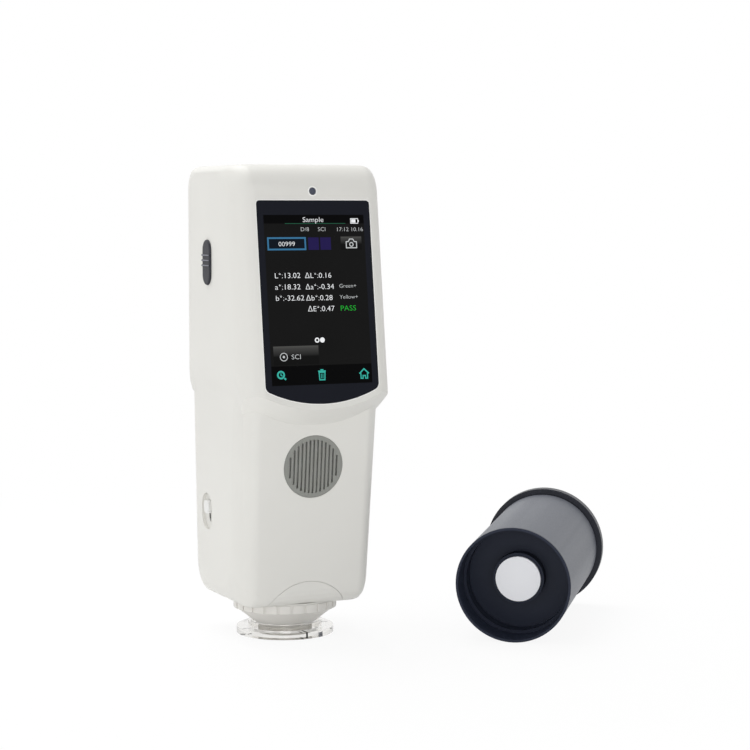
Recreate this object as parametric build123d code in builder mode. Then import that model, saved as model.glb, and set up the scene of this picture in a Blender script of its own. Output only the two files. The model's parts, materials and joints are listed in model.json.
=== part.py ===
"""Portable spectrophotometer standing on its clear locating plate, with its calibration cup beside it.

Millimetres, +Z up. The origin is on the nose's axis, on the surface the locating plate stands on.
The display looks towards -Y, and +X is to the right of someone who faces it.
"""
from build123d import *
from math import asin, atan2, cos, pi, radians, sin, sqrt, tan
import os

os.makedirs("parts", exist_ok=True)

# Housing
height = 214.0
wall = 2.2
head_half = 35.8
head_front = 39.6
head_back = 37.2
head_tilt = 7.42
neck_z = 107.0
throat_fall = 0.107
grip_half = 34.0
grip_front = 33.6
grip_back = 35.7
grip_tilt = 5.74
grip_draft = 0.9
grip_bottom = 16.0
parting_y = 25.0
side_roll = 8.6
front_roll = 15.0
back_roll = 12.0
crown_roll = 4.0
chin_roll = 20.0
foot_roll = 9.0
crown_radius = 12.0
nape_radius = 8.0
neck_round = 2.0
heel_radius = 10.0
toe_radius = 8.0
roll_steps = 5
cavity_steps = 2
corner_steps = 6
cavity_corner_steps = 2
chin_steps = 12
last_turn = 84.0
least_round = 0.5
neck_lap = 17.0
chin_slope = 36.0
chin_reach = 2.0
chin_start = 15.0
chin_run = 60.0

# Display, its glass and the indicator
display_z = 154.7
glass_half = 27.0
glass_up = 43.7
glass_side_down = 39.5
glass_mid_down = 45.9
glass_thick = 1.5
glass_sunk = 0.1
glass_corner = 1.5
glass_chin_corner = 3.0
chin_rim = 3.0
frame_depth = 3.4
frame_rim = 1.6
panel_width = 50.6
panel_height = 79.4
panel_thick = 3.2
panel_down = 0.6
indicator_up = 47.9
indicator_radius = 1.65
indicator_length = 9.0
indicator_sunk = 0.4

# Grille and speaker
grille_z = 80.0
grille_radius = 14.1
grille_seat = 1.3
grille_ledge = 1.3
slit_count = 13
slit_pitch = 1.86
slit_width = 0.95
slit_field = 12.1
speaker_radius = 13.4
speaker_rim = 1.6
speaker_depth = 4.6
magnet_side = 12.0

# Measuring button on the left side
button_y = 3.0
button_z = 170.4
button_tall = 20.5
button_wide = 9.4
button_face = 1.0
button_tip = 1.2
button_travel = 0.8
button_lip = 1.2
lip_thick = 1.0
crown_in = 0.6
ridge_wide = 1.2
ridge_high = 0.5
ridge_pitch = 2.0
ridge_taper = 20.0
tact_size = 6.0
tact_tall = 3.5
plunger_side = 3.0
plunger_long = 2.6
plunger_in = 1.2
card_wide = 11.0
card_tall = 38.0
card_thick = 1.2
card_post_apart = 31.0
card_post = 4.4

# Power switch on the left side
switch_y = 13.0
switch_z = 56.0
dish_tall = 17.0
dish_wide = 12.5
switch_sunk = 1.5
dish_thinning = 0.6
knob_tall = 6.0
knob_wide = 6.4
knob_proud = 0.3
knob_gap = 0.3
knob_corner = 2.0
switch_travel = 4.0
stem_tall = 2.4
stem_wide = 2.0
stem_long = 4.0
switch_body_wide = 6.0
switch_body_tall = 14.0
switch_body_deep = 4.4

# Charging and data socket on the right side
port_y = 13.0
port_z = 56.0
port_long = 8.94
port_wide = 3.26
port_depth = 7.3
port_shell = 0.35
port_floor = 1.0
port_recess = 1.0
port_margin = 2.2
tongue_thick = 0.7
tongue_short = 0.8
port_card_tall = 18.0
port_card_deep = 6.5

# Nose, aperture ring and locating plate
plate_radius = 22.3
plate_thick = 3.0
plate_collar_radius = 17.0
plate_collar_wall = 1.3
plate_collar_gap = 0.8
line_count = 4
line_short = 1.0
line_wide = 0.7
line_deep = 0.2
ring_radius = 23.7
ring_low = 12.0
ring_gap = 0.25
ring_notches = 24
notch_wide = 1.2
notch_deep = 0.5
cone_top = 22.8
cone_foot = 12.4
cone_foot_z = 0.6
cone_shoulder_z = 3.8
cone_wall = 1.9
cone_step_z = 7.0
aperture_radius = 5.5
cone_bore = 8.0
hidden_sides = 24
cone_sides = 36
collar_radius = 18.0
collar_bore = 15.6
turn_gap = 0.05
arch_radius = 21.6
arch_z = 6.0
arch_front = 19.2

# Optics inside the grip
sphere_z = 44.0
sphere_inner = 20.0
sphere_block = 45.0
sphere_bevel = 9.0
sphere_cap = 2.0
sphere_sides = 12
sphere_port = 7.0
base_size = (51.6, 38.4)
base_thick = 3.0
base_boss = 1.8
base_window = 20.0
base_pads = (22.5, 9.0)
pad_side = 5.4
viewing_angle = 8.0
barrel_side = 10.6
barrel_bore = 3.6
camera_x = -12.0
camera_y = 0.0
camera_side = 8.4
camera_tall = 6.0
camera_lens = 3.2
lamp_z = 52.0
lamp_card_size = (20.0, 13.0)
lamp_chip = 3.4
lamp_chip_tall = 0.8
spectrometer_size = (44.0, 34.0, 28.0)
spectrometer_x = 6.0
spectrometer_z = 78.0
spectrometer_wall = 1.6
grating_size = 14.0
grating_thick = 6.0
grating_radius = 17.5
sensor_size = (12.0, 22.0)
sensor_chip = (5.0, 15.0)
sensor_chip_tall = 2.2
sensor_x = -13.0
sensor_y = 4.0

# Electronics in the head
board_y = 24.0
board_lap = 1.4
board_size = (2 * (grip_half - 2 * wall + board_lap), 94.0)
board_thick = 1.6
board_z = 152.0
board_rib = 2.6
low_chips = [(-8.0, 4.0, 15.0, 15.0), (12.0, 6.0, 11.0, 14.0), (12.0, -18.0, 9.0, 9.0)]
low_chip_tall = 1.4
high_chips = [(0, -40.0, 26.0, 4.6), (-16.0, 34.0, 16.0, 13.0)]
high_chip_tall = 2.8
frame_size = (54.0, 124.0)
frame_low = 72.0
frame_thick = 1.6
frame_window = (18.0, 20.0)
frame_windows_apart = 40.0
frame_posts_x = 22.0
frame_posts_low = 37.0
frame_posts_high = 6.0
frame_post = 4.2
pack_size = (38.0, 14.0, 66.0)
pack_low = 115.5
holder_wall = 1.2
holder_rim = 6.0

# Screws that hold the covers together
screw_x = 20.0
screw_z = 31.0
screw_post = 6.6
screw_reach = 4.6
screw_seat = 4.0
screw_radius = 1.25
screw_spare = 0.6
screw_head_radius = 2.4
screw_head_tall = 1.6
screw_socket = 1.3
screw_way = 20.0
socket_deep_in = 0.9
rib_thick = 2.4

# Calibration cup, lying on its side
cup_x = 81.85
cup_y = -69.2
cup_heading = 37.9
cup_radius = 26.1
cup_bore = 25.0
cup_length = 101.0
socket_deep = 14.0
floor_deep = 22.4
floor_thick = 2.6
step_in = 1.3
pedestal_radius = 11.7
pedestal_tall = 6.2
tile_radius = 10.3
tile_thick = 1.6
base_cap_radius = 28.6
base_cap_thick = 5.2
groove_wide = 2.0
groove_radius = 24.5
cup_wall = 3.6

# Clearances
seam = 0.12
slide_gap = 0.25
snug = 0.05
outside = 1.0


def head_front_y(z):
    """The head's front face leans back from bottom to top."""
    return -head_front + (z - display_z) * tan(radians(head_tilt))


def grip_front_y(z):
    """The grip's front face leans forward from bottom to top."""
    return -grip_front - (z - grille_z) * tan(radians(grip_tilt))


def head_corners(front, crown, back, chin):
    """Side view of the head, drawn in by the given amounts."""
    top = height - crown
    nape = neck_z + chin
    step = front / cos(radians(head_tilt))
    lean = tan(radians(head_tilt))
    foot = head_front_y(0) + step
    throat = (nape - throat_fall * (head_back - back - foot)) / (1 - throat_fall * lean)
    return [
        (head_front_y(top) + step, top),
        (head_back - back, top),
        (head_back - back, nape),
        (head_front_y(throat) + step, throat),
    ]


def grip_corners(front, crown, back, foot):
    """Side view of the grip, drawn in by the given amounts. Its top ends inside the head."""
    top = neck_z + neck_lap - crown
    low = grip_bottom + foot
    step = front / cos(radians(grip_tilt))
    return [
        (grip_front_y(top) + step, top),
        (grip_back - back, top),
        (grip_back - back, low),
        (grip_front_y(low) + step, low),
    ]


def drafted_plane(x, lean):
    """Plane across the width, at x at the neck, that leans in towards the bottom."""
    turn = radians(lean)
    return Plane(
        origin=(x - neck_z * sin(turn), 0, 0),
        x_dir=(0, 1, 0),
        z_dir=(cos(turn), 0, -sin(turn)),
    )


def soft_corners(corners, radii, steps):
    """The corners of a side view, each one rounded to its radius in a few short lines."""
    points = []
    for i, radius in enumerate(radii):
        corner = Vector(*corners[i])
        before = (Vector(*corners[i - 1]) - corner).normalized()
        after = (Vector(*corners[(i + 1) % len(corners)]) - corner).normalized()
        half_angle = radians(before.get_angle(after) / 2)
        centre = corner + (before + after).normalized() * radius / sin(half_angle)
        out = (corner - centre).normalized()
        side = Vector(-out.Y, out.X)
        count = max(1, round(steps * sqrt(radius / crown_radius)))
        swing = pi / 2 - half_angle
        for j in range(count + 1):
            turn = swing * (2 * j / count - 1)
            points.append(centre + (out * cos(turn) - side * sin(turn)) * radius)
    return points


def flat_sided(outlines):
    """A solid of flat faces between outlines that have as many corners, closed at both ends."""
    faces = [Face(Wire.make_polygon(outlines[0])), Face(Wire.make_polygon(outlines[-1]))]
    for one, two in zip(outlines, outlines[1:]):
        for i in range(len(one)):
            faces.append(Face(Wire.make_polygon([one[i - 1], one[i], two[i], two[i - 1]])))
    return Solid(Shell(faces))


def rolled_body(corners, radii, half, rolls, lean, inset, steps, corner_steps):
    """A side view drawn out to both sides, whose rim rolls in towards the side faces in flat strips."""
    start = half - side_roll
    rounds = [max(r - inset, least_round) for r in radii]
    turns = [radians(last_turn * i / steps) for i in range(steps + 1)]
    sections = [(-1, turn) for turn in reversed(turns)] + [(1, turn) for turn in turns]
    outlines = []
    for hand, turn in sections:
        x = start + (side_roll - inset) * sin(turn) / sin(turns[-1])
        drawn = [inset + roll * (1 - cos(turn)) for roll in rolls]
        plane = drafted_plane(hand * x, hand * lean)
        view = soft_corners(corners(*drawn), rounds, corner_steps)
        outlines.append([plane.from_local_coords(point) for point in view])
    return flat_sided(outlines)


# Planes of the housing's faces: x to the right, y up along the face, z outwards
head_plane = Plane(
    origin=(0, -head_front, display_z),
    x_dir=(1, 0, 0),
    z_dir=(0, -cos(radians(head_tilt)), sin(radians(head_tilt))),
)
grip_plane = Plane(
    origin=(0, -grip_front, grille_z),
    x_dir=(1, 0, 0),
    z_dir=(0, -cos(radians(grip_tilt)), -sin(radians(grip_tilt))),
)
button_plane = Plane(
    origin=(-head_half, button_y, button_z), x_dir=(0, -1, 0), z_dir=(-1, 0, 0)
)


def grip_side_plane(y, z, hand):
    """Plane on the grip's drafted side face, at a place on it."""
    turn = radians(grip_draft)
    x = grip_half - (neck_z - z) * tan(turn)
    return Plane(
        origin=(hand * x, y, z),
        x_dir=(0, hand, 0),
        z_dir=(hand * cos(turn), 0, -sin(turn)),
    )


switch_plane = grip_side_plane(switch_y, switch_z, -1)
port_plane = grip_side_plane(port_y, port_z, 1)

# The glass's lower edge is an arc, and the chin follows it one rim further down
glass_sag = glass_mid_down - glass_side_down
glass_arc = (glass_half**2 + glass_sag**2) / (2 * glass_sag)
arc_centre = glass_arc - glass_mid_down


def chin_cutter(shift):
    """Everything under the chin: a slanting arch that runs back and down to the grip."""
    slope = radians(chin_slope)
    run = Vector(0, cos(slope), -sin(slope))
    arc = glass_arc + chin_rim - shift
    reach = head_half + chin_reach
    ends = arc_centre - sqrt(arc**2 - reach**2)
    low = ends - chin_run
    turns = [asin(reach / arc) * (2 * i / chin_steps - 1) for i in range(chin_steps + 1)]
    arch = [(arc * sin(turn), arc_centre - arc * cos(turn)) for turn in turns]
    plane = Plane(head_plane.origin - run * chin_start, x_dir=(1, 0, 0), z_dir=head_plane.z_dir)
    with BuildPart() as cutter:
        with BuildSketch(plane):
            with BuildLine():
                Polyline(*arch, (reach, low), (-reach, low), close=True)
            make_face()
        extrude(amount=chin_run, dir=run)
    return cutter.part


def housing(inset, steps, corner_steps):
    """The closed outer form of the housing, or its cavity when inset by the wall."""
    head = rolled_body(
        head_corners,
        [crown_radius, nape_radius, neck_round, neck_round],
        head_half,
        [front_roll, crown_roll, back_roll, chin_roll],
        0,
        inset,
        steps,
        corner_steps,
    )
    grip = rolled_body(
        grip_corners,
        [neck_round, neck_round, heel_radius, toe_radius],
        grip_half,
        [front_roll, 0, back_roll, foot_roll],
        grip_draft,
        inset,
        steps,
        corner_steps,
    )
    chin = chin_cutter(inset / cos(radians(chin_slope - head_tilt)))
    with BuildPart() as form:
        add(head)
        add(chin, mode=Mode.SUBTRACT)
        add(grip)
    return form.part


def glass_outline(grow):
    """Outline of the display glass on the head's front plane, grown by a gap."""
    side = glass_half + grow
    top = glass_up + grow
    arc = glass_arc + grow
    low = arc_centre - sqrt(arc**2 - side**2)
    with BuildSketch() as outline:
        with BuildLine():
            Polyline((-side, low), (-side, top), (side, top), (side, low))
            ThreePointArc((side, low), (0, arc_centre - arc), (-side, low))
        make_face()
        fillet(outline.vertices().group_by(Axis.Y)[-1], glass_corner + grow)
        fillet(outline.vertices().group_by(Axis.Y)[0], glass_chin_corner + grow)
    return outline.sketch


def lens_outline(grow):
    """The measuring button's outline, a pointed oval of two arcs, grown by a gap."""
    half_wide = button_wide / 2 + grow
    half_tall = (button_tall / 2) + grow * button_tall / button_wide
    with BuildSketch() as outline:
        with BuildLine():
            ThreePointArc((0, half_tall), (half_wide, 0), (0, -half_tall))
            ThreePointArc((0, -half_tall), (-half_wide, 0), (0, half_tall))
        make_face()
        fillet(outline.vertices(), button_tip)
    return outline.sketch


def screw(plane):
    """A cover screw whose head stands on the plane, with a hexagon socket in the head."""
    with BuildPart() as body:
        with BuildSketch(plane):
            Circle(screw_radius)
        extrude(amount=-(screw_seat + screw_reach - screw_spare))
        with BuildSketch(plane):
            Circle(screw_head_radius)
        extrude(amount=screw_head_tall)
        with BuildSketch(plane.offset(screw_head_tall)):
            RegularPolygon(screw_socket, 6)
        extrude(amount=-socket_deep_in, mode=Mode.SUBTRACT)
    return body.part


outer = housing(0, roll_steps, corner_steps)
inner = housing(wall, cavity_steps, cavity_corner_steps)

# Heights and places that several pieces share
floor_z = grip_bottom + wall
base_z = floor_z + base_boss
frame_front_y = parting_y - frame_thick
frame_top = frame_low + frame_size[1]
frame_mid_z = frame_low + frame_size[1] / 2
post_rows = (frame_low + frame_posts_low, frame_top - frame_posts_high)
lip_back = -(wall + slide_gap + lip_thick)
tact_front = lip_back - plunger_long + plunger_in
card_front = tact_front - tact_tall
switch_back = -(switch_sunk + wall - dish_thinning)
cover_screws_at = [(hand * screw_x, screw_z) for hand in (-1, 1)]
frame_posts_at = [(hand * frame_posts_x, z) for hand in (-1, 1) for z in post_rows]
base_pads_at = [(a * base_pads[0], b * base_pads[1]) for a in (-1, 1) for b in (-1, 1)]

# The cavity, less the seats, ribs and posts that stand in it
with BuildPart() as hollow:
    add(inner)
    with BuildSketch(head_plane):
        add(glass_outline(frame_rim))
    extrude(amount=-frame_depth, mode=Mode.SUBTRACT)
    with BuildSketch(Plane.XZ.offset(board_y)):
        for hand in (-1, 1):
            with Locations((hand * (board_size[0] - board_rib) / 2, board_z)):
                Rectangle(board_rib, board_size[1])
    extrude(amount=head_front, mode=Mode.SUBTRACT)
    with BuildSketch(Plane.XZ.offset(-parting_y)):
        with Locations(*frame_posts_at):
            Rectangle(frame_post, frame_post)
    extrude(amount=-head_back, mode=Mode.SUBTRACT)
    with BuildSketch(Plane.XZ.offset(screw_reach - parting_y)):
        with Locations(*cover_screws_at):
            Rectangle(screw_post, screw_post)
        for hand in (-1, 1):
            with Locations((hand * screw_x, (screw_z + grip_bottom) / 2)):
                Rectangle(rib_thick, screw_z - grip_bottom)
    extrude(amount=-head_back, mode=Mode.SUBTRACT)
    with BuildSketch(Plane.XY.offset(grip_bottom)):
        with Locations(*base_pads_at):
            Rectangle(pad_side, pad_side)
    extrude(amount=wall + base_boss, mode=Mode.SUBTRACT)
    with BuildSketch(button_plane):
        with GridLocations(0, card_post_apart, 1, 2):
            Rectangle(card_post, card_post)
    extrude(amount=card_front, mode=Mode.SUBTRACT)
    with BuildSketch(switch_plane):
        Rectangle(dish_wide + 2 * wall, dish_tall + 2 * wall)
    extrude(amount=switch_back, mode=Mode.SUBTRACT)

with BuildPart() as shell:
    add(outer)
    add(hollow.part, mode=Mode.SUBTRACT)

# Front cover: display seat, grille seat, button and switch openings, nose hole, arch
with BuildPart() as front_cover:
    add(shell.part)
    split(bisect_by=Plane.XZ.offset(-parting_y), keep=Keep.TOP)
    with BuildSketch(head_plane.offset(outside)):
        add(glass_outline(seam))
    extrude(amount=-(outside + glass_thick + glass_sunk), mode=Mode.SUBTRACT)
    with BuildSketch(head_plane):
        with Locations((0, -panel_down)):
            Rectangle(panel_width + 2 * slide_gap, panel_height + 2 * slide_gap)
    extrude(amount=-(frame_depth + wall), mode=Mode.SUBTRACT)
    with BuildSketch(head_plane.offset(outside)):
        with Locations((0, indicator_up)):
            Circle(indicator_radius + snug)
    extrude(amount=-(outside + indicator_length), mode=Mode.SUBTRACT)
    with BuildSketch(grip_plane.offset(outside)):
        Circle(grille_radius + seam)
    extrude(amount=-(outside + grille_seat), mode=Mode.SUBTRACT)
    with BuildSketch(grip_plane):
        Circle(grille_radius - grille_ledge)
    extrude(amount=-2 * wall, mode=Mode.SUBTRACT)
    with BuildSketch(button_plane.offset(outside)):
        add(lens_outline(slide_gap))
    extrude(amount=-(outside + 2 * wall), mode=Mode.SUBTRACT)
    with BuildSketch(switch_plane.offset(outside)):
        SlotOverall(dish_tall, dish_wide, rotation=90)
    extrude(amount=-(outside + switch_sunk), mode=Mode.SUBTRACT)
    with BuildSketch(switch_plane):
        Rectangle(stem_wide + 2 * slide_gap, stem_tall + switch_travel + 2 * slide_gap)
    extrude(amount=-3 * wall, mode=Mode.SUBTRACT)
    with BuildSketch(port_plane.offset(outside)) as recess:
        Rectangle(port_wide + 2 * port_margin, port_long + 2 * port_margin)
        chamfer(recess.vertices(), port_margin)
    extrude(amount=-(outside + port_recess), mode=Mode.SUBTRACT)
    with BuildSketch(port_plane):
        SlotOverall(port_long + 2 * seam, port_wide + 2 * seam, rotation=90)
    extrude(amount=-3 * wall, mode=Mode.SUBTRACT)
    with BuildSketch(Plane.XY.offset(grip_bottom - outside)):
        Circle(collar_radius + slide_gap)
    extrude(amount=wall + 2 * outside, mode=Mode.SUBTRACT)
    with BuildSketch(Plane.XZ.offset(arch_front)):
        with Locations((0, arch_z)):
            Circle(arch_radius)
    extrude(amount=grip_front, mode=Mode.SUBTRACT)
    with BuildSketch(Plane.XZ.offset(-parting_y)):
        with Locations(*cover_screws_at):
            Circle(screw_radius + snug)
    extrude(amount=screw_reach, mode=Mode.SUBTRACT)
front_cover.part.label = "front_cover"
export_step(front_cover.part, "parts/front_cover.step")

# Rear cover: two counterbored screw posts and four posts for the inner frame
with BuildPart() as rear_cover:
    add(shell.part)
    split(bisect_by=Plane.XZ.offset(-parting_y), keep=Keep.BOTTOM)
    with BuildSketch(Plane.XZ.offset(-parting_y)):
        with Locations(*cover_screws_at):
            Circle(screw_radius + snug)
    extrude(amount=-screw_way, mode=Mode.SUBTRACT)
    with BuildSketch(Plane.XZ.offset(-parting_y - screw_seat)):
        with Locations(*cover_screws_at):
            Circle(screw_head_radius + seam)
    extrude(amount=-screw_way, mode=Mode.SUBTRACT)
rear_cover.part.label = "rear_cover"
export_step(rear_cover.part, "parts/rear_cover.step")

# Arch-shaped insert in the lower front, under which the nose is fitted
with BuildPart() as base_arch:
    with BuildSketch(Plane.YZ):
        for inset, mode in ((0, Mode.ADD), (wall, Mode.SUBTRACT)):
            rounds = [neck_round, neck_round, heel_radius - inset, toe_radius - inset]
            with BuildLine():
                Polyline(*soft_corners(grip_corners(*[inset] * 4), rounds, corner_steps), close=True)
            make_face(mode=mode)
    extrude(amount=arch_radius, both=True)
    with BuildSketch(Plane.XZ.offset(arch_front + seam)):
        with Locations((0, arch_z)):
            Circle(arch_radius - seam)
    extrude(amount=grip_front, mode=Mode.INTERSECT)
base_arch.part.label = "base_arch"
export_step(base_arch.part, "parts/base_arch.step")

# Display glass, its lower edge an arc
with BuildPart() as touch_glass:
    with BuildSketch(head_plane.offset(-glass_sunk - glass_thick)):
        add(glass_outline(0))
    extrude(amount=glass_thick)
touch_glass.part.label = "touch_glass"
export_step(touch_glass.part, "parts/touch_glass.step")

# Display panel bonded behind the glass
with BuildPart() as display_panel:
    with BuildSketch(head_plane.offset(-glass_sunk - glass_thick)):
        with Locations((0, -panel_down)):
            Rectangle(panel_width, panel_height)
    extrude(amount=-panel_thick)
display_panel.part.label = "display_panel"
export_step(display_panel.part, "parts/display_panel.step")

# Light pipe of the indicator over the display
with BuildPart() as indicator_lens:
    with BuildSketch(head_plane.offset(-indicator_sunk)):
        with Locations((0, indicator_up)):
            Circle(indicator_radius)
    extrude(amount=-(indicator_length - indicator_sunk))
indicator_lens.part.label = "indicator_lens"
export_step(indicator_lens.part, "parts/indicator_lens.step")

# Round grille with upright slits, cut to the length of each chord
with BuildPart() as speaker_grille:
    with BuildSketch(grip_plane):
        Circle(grille_radius)
        for i in range(slit_count):
            across = (i - (slit_count - 1) / 2) * slit_pitch
            chord = 2 * sqrt(slit_field**2 - across**2)
            with Locations((across, 0)):
                Rectangle(slit_width, chord, mode=Mode.SUBTRACT)
    extrude(amount=-grille_seat)
speaker_grille.part.label = "speaker_grille"
export_step(speaker_grille.part, "parts/speaker_grille.step")

# Loudspeaker behind the grille: frame with its cone's edge, and the magnet pot
with BuildPart() as speaker:
    with BuildSketch(grip_plane.offset(-wall)):
        RegularPolygon(speaker_radius, hidden_sides)
    extrude(amount=-speaker_rim)
    with BuildSketch(grip_plane.offset(-wall - speaker_rim)):
        Rectangle(magnet_side, magnet_side)
    extrude(amount=speaker_rim - speaker_depth)
speaker.part.label = "speaker"
export_step(speaker.part, "parts/speaker.step")

# Measuring button: pointed oval with three finger ridges and a lip behind the wall
crown_low = button_face - crown_in
with BuildPart() as measure_button:
    with BuildSketch(button_plane.offset(lip_back)):
        add(lens_outline(0))
    extrude(amount=crown_low - lip_back)
    with BuildSketch(button_plane.offset(crown_low)):
        add(lens_outline(0))
    with BuildSketch(button_plane.offset(button_face)):
        add(lens_outline(-crown_in))
    loft(ruled=True)
    with BuildSketch(button_plane.offset(lip_back)):
        add(lens_outline(button_lip))
    extrude(amount=lip_thick)
    with BuildSketch(button_plane.offset(crown_low)):
        with GridLocations(0, ridge_pitch, 1, 3):
            Rectangle(button_wide - 4 * crown_in, ridge_wide)
    extrude(amount=crown_in + ridge_high, taper=ridge_taper)
measure_button.part.label = "measure_button"
export_step(measure_button.part, "parts/measure_button.step")

# The plunger that the button pushes, and the key switch that springs it back
with BuildPart() as switch_plunger:
    with BuildSketch(button_plane.offset(lip_back)):
        Rectangle(plunger_side, plunger_side)
    extrude(amount=-plunger_long)
switch_plunger.part.label = "switch_plunger"
export_step(switch_plunger.part, "parts/switch_plunger.step")

with BuildPart() as key_switch:
    with BuildSketch(button_plane.offset(tact_front)):
        Rectangle(tact_size, tact_size)
    extrude(amount=-tact_tall)
    with BuildSketch(button_plane.offset(tact_front)):
        Rectangle(plunger_side + 2 * snug, plunger_side + 2 * snug)
    extrude(amount=-(plunger_in + button_travel + slide_gap), mode=Mode.SUBTRACT)
key_switch.part.label = "key_switch"
export_step(key_switch.part, "parts/key_switch.step")

# Card that carries the key switch, on two posts of the front cover
with BuildPart() as button_card:
    with BuildSketch(button_plane.offset(card_front)):
        Rectangle(card_wide, card_tall)
    extrude(amount=-card_thick)
button_card.part.label = "button_card"
export_step(button_card.part, "parts/button_card.step")

# Power switch: a knob that slides in a dish, and the switch behind the wall
knob_up = switch_travel / 2
knob_base = knob_gap - switch_sunk
with BuildPart() as power_switch_knob:
    with BuildSketch(switch_plane.offset(knob_base)):
        with Locations((0, knob_up)):
            RectangleRounded(knob_wide, knob_tall, knob_corner)
    extrude(amount=knob_proud - knob_base)
    with BuildSketch(switch_plane.offset(knob_base)):
        with Locations((0, knob_up)):
            Rectangle(stem_wide, stem_tall)
    extrude(amount=-(stem_long + knob_gap))
power_switch_knob.part.label = "power_switch_knob"
export_step(power_switch_knob.part, "parts/power_switch_knob.step")

with BuildPart() as power_switch_body:
    with BuildSketch(switch_plane.offset(switch_back)):
        Rectangle(switch_body_wide, switch_body_tall)
    extrude(amount=-switch_body_deep)
    with BuildSketch(switch_plane.offset(switch_back)):
        Rectangle(stem_wide + 2 * slide_gap, stem_tall + switch_travel + 2 * slide_gap)
    extrude(amount=-(stem_long - wall + dish_thinning + slide_gap), mode=Mode.SUBTRACT)
power_switch_body.part.label = "power_switch_body"
export_step(power_switch_body.part, "parts/power_switch_body.step")

# Charging and data socket: a metal shell with a tongue, and the card it is soldered to
with BuildPart() as usb_socket:
    with BuildSketch(port_plane.offset(-port_recess)):
        SlotOverall(port_long, port_wide, rotation=90)
    extrude(amount=-port_depth)
    with BuildSketch(port_plane.offset(-port_recess)):
        SlotOverall(port_long - 2 * port_shell, port_wide - 2 * port_shell, rotation=90)
    extrude(amount=-(port_depth - port_floor), mode=Mode.SUBTRACT)
    with BuildSketch(port_plane.offset(-port_recess - port_depth)):
        Rectangle(tongue_thick, port_long - port_wide + tongue_thick)
    extrude(amount=port_depth - tongue_short)
usb_socket.part.label = "usb_socket"
export_step(usb_socket.part, "parts/usb_socket.step")

with BuildPart() as port_card:
    with BuildSketch(port_plane.offset(-wall - slide_gap)):
        with Locations(((port_wide + card_thick) / 2, 0)):
            Rectangle(card_thick, port_card_tall)
    extrude(amount=-port_card_deep)
port_card.part.label = "port_card"
export_step(port_card.part, "parts/port_card.step")

# Nose collar on the base plate, which carries the turning ring
collar_low = ring_low + 2 * turn_gap
with BuildPart() as nose_collar:
    with BuildSketch(Plane.XY.offset(collar_low)):
        Circle(collar_radius)
        RegularPolygon(collar_bore, hidden_sides, mode=Mode.SUBTRACT)
    extrude(amount=base_z - collar_low)
nose_collar.part.label = "nose_collar"
export_step(nose_collar.part, "parts/nose_collar.step")

# Castellated ring that turns on the collar
ring_top = grip_bottom - ring_gap
with BuildPart() as aperture_ring:
    with BuildSketch(Plane.XY.offset(ring_low)):
        Circle(ring_radius)
        Circle(collar_radius + turn_gap, mode=Mode.SUBTRACT)
        with PolarLocations(ring_radius, ring_notches, start_angle=90):
            Rectangle(2 * notch_deep, notch_wide, mode=Mode.SUBTRACT)
    extrude(amount=ring_top - ring_low)
aperture_ring.part.label = "aperture_ring"
export_step(aperture_ring.part, "parts/aperture_ring.step")

# Cone under the ring, with a stepped bore
cone_rise = (ring_low - cone_shoulder_z) / (cone_top - cone_foot)
cone_lift = cone_wall * sqrt(1 + cone_rise**2)


def cone_z(radius):
    """Height of the cone's outer face at a radius."""
    return cone_shoulder_z + (radius - cone_foot) * cone_rise


def ring_of_points(radius, z):
    """Corners of a regular polygon round the nose's axis."""
    turns = [2 * pi * i / cone_sides for i in range(cone_sides)]
    return [Vector(radius * cos(turn), radius * sin(turn), z) for turn in turns]


def cone_inner_radius(z):
    """Radius of the cone's inner face at a height."""
    return cone_foot + (z - cone_lift - cone_shoulder_z) / cone_rise


with BuildPart() as aperture_cone:
    add(flat_sided([ring_of_points(cone_foot, cone_shoulder_z), ring_of_points(cone_top, ring_low)]))
    with BuildSketch(Plane.XY.offset(cone_shoulder_z)):
        Circle(cone_bore)
    extrude(amount=ring_low, mode=Mode.SUBTRACT)
    with BuildSketch(Plane.XY.offset(cone_step_z)):
        Circle(cone_inner_radius(cone_step_z))
    extrude(amount=ring_low, mode=Mode.SUBTRACT)
aperture_cone.part.label = "aperture_cone"
export_step(aperture_cone.part, "parts/aperture_cone.step")

# Tip on the cone's foot, which holds the measuring aperture
with BuildPart() as aperture_tip:
    with BuildSketch(Plane.XY.offset(cone_foot_z)):
        Circle(cone_foot)
        Circle(aperture_radius, mode=Mode.SUBTRACT)
    extrude(amount=cone_shoulder_z - cone_foot_z)
aperture_tip.part.label = "aperture_tip"
export_step(aperture_tip.part, "parts/aperture_tip.step")

# Clear locating plate: the cone stands over its collar, and the tip goes through it
collar_inner = plate_collar_radius - plate_collar_wall
line_reach = plate_radius - collar_inner - 2 * line_short
line_ring = (collar_inner + plate_radius) / 2
with BuildPart() as locating_plate:
    with BuildSketch():
        Circle(plate_radius)
    extrude(amount=plate_thick)
    with BuildSketch(Plane.XY.offset(plate_thick)):
        Circle(plate_collar_radius)
    extrude(amount=cone_z(collar_inner) - plate_collar_gap - plate_thick)
    with BuildSketch():
        Circle(collar_inner)
    extrude(amount=ring_low, mode=Mode.SUBTRACT)
    with BuildSketch():
        with PolarLocations(line_ring, line_count):
            Rectangle(line_reach, line_wide)
    extrude(amount=line_deep, mode=Mode.SUBTRACT)
locating_plate.part.label = "locating_plate"
export_step(locating_plate.part, "parts/locating_plate.step")

# Crosshair lines let into the plate's underside
with BuildPart() as crosshair_lines:
    with BuildSketch(Plane.XY.offset(line_deep)):
        with PolarLocations(line_ring, line_count):
            Rectangle(line_reach, line_wide)
    extrude(amount=-(line_deep - snug))
crosshair_lines.part.label = "crosshair_lines"
export_step(crosshair_lines.part, "parts/crosshair_lines.step")

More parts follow.
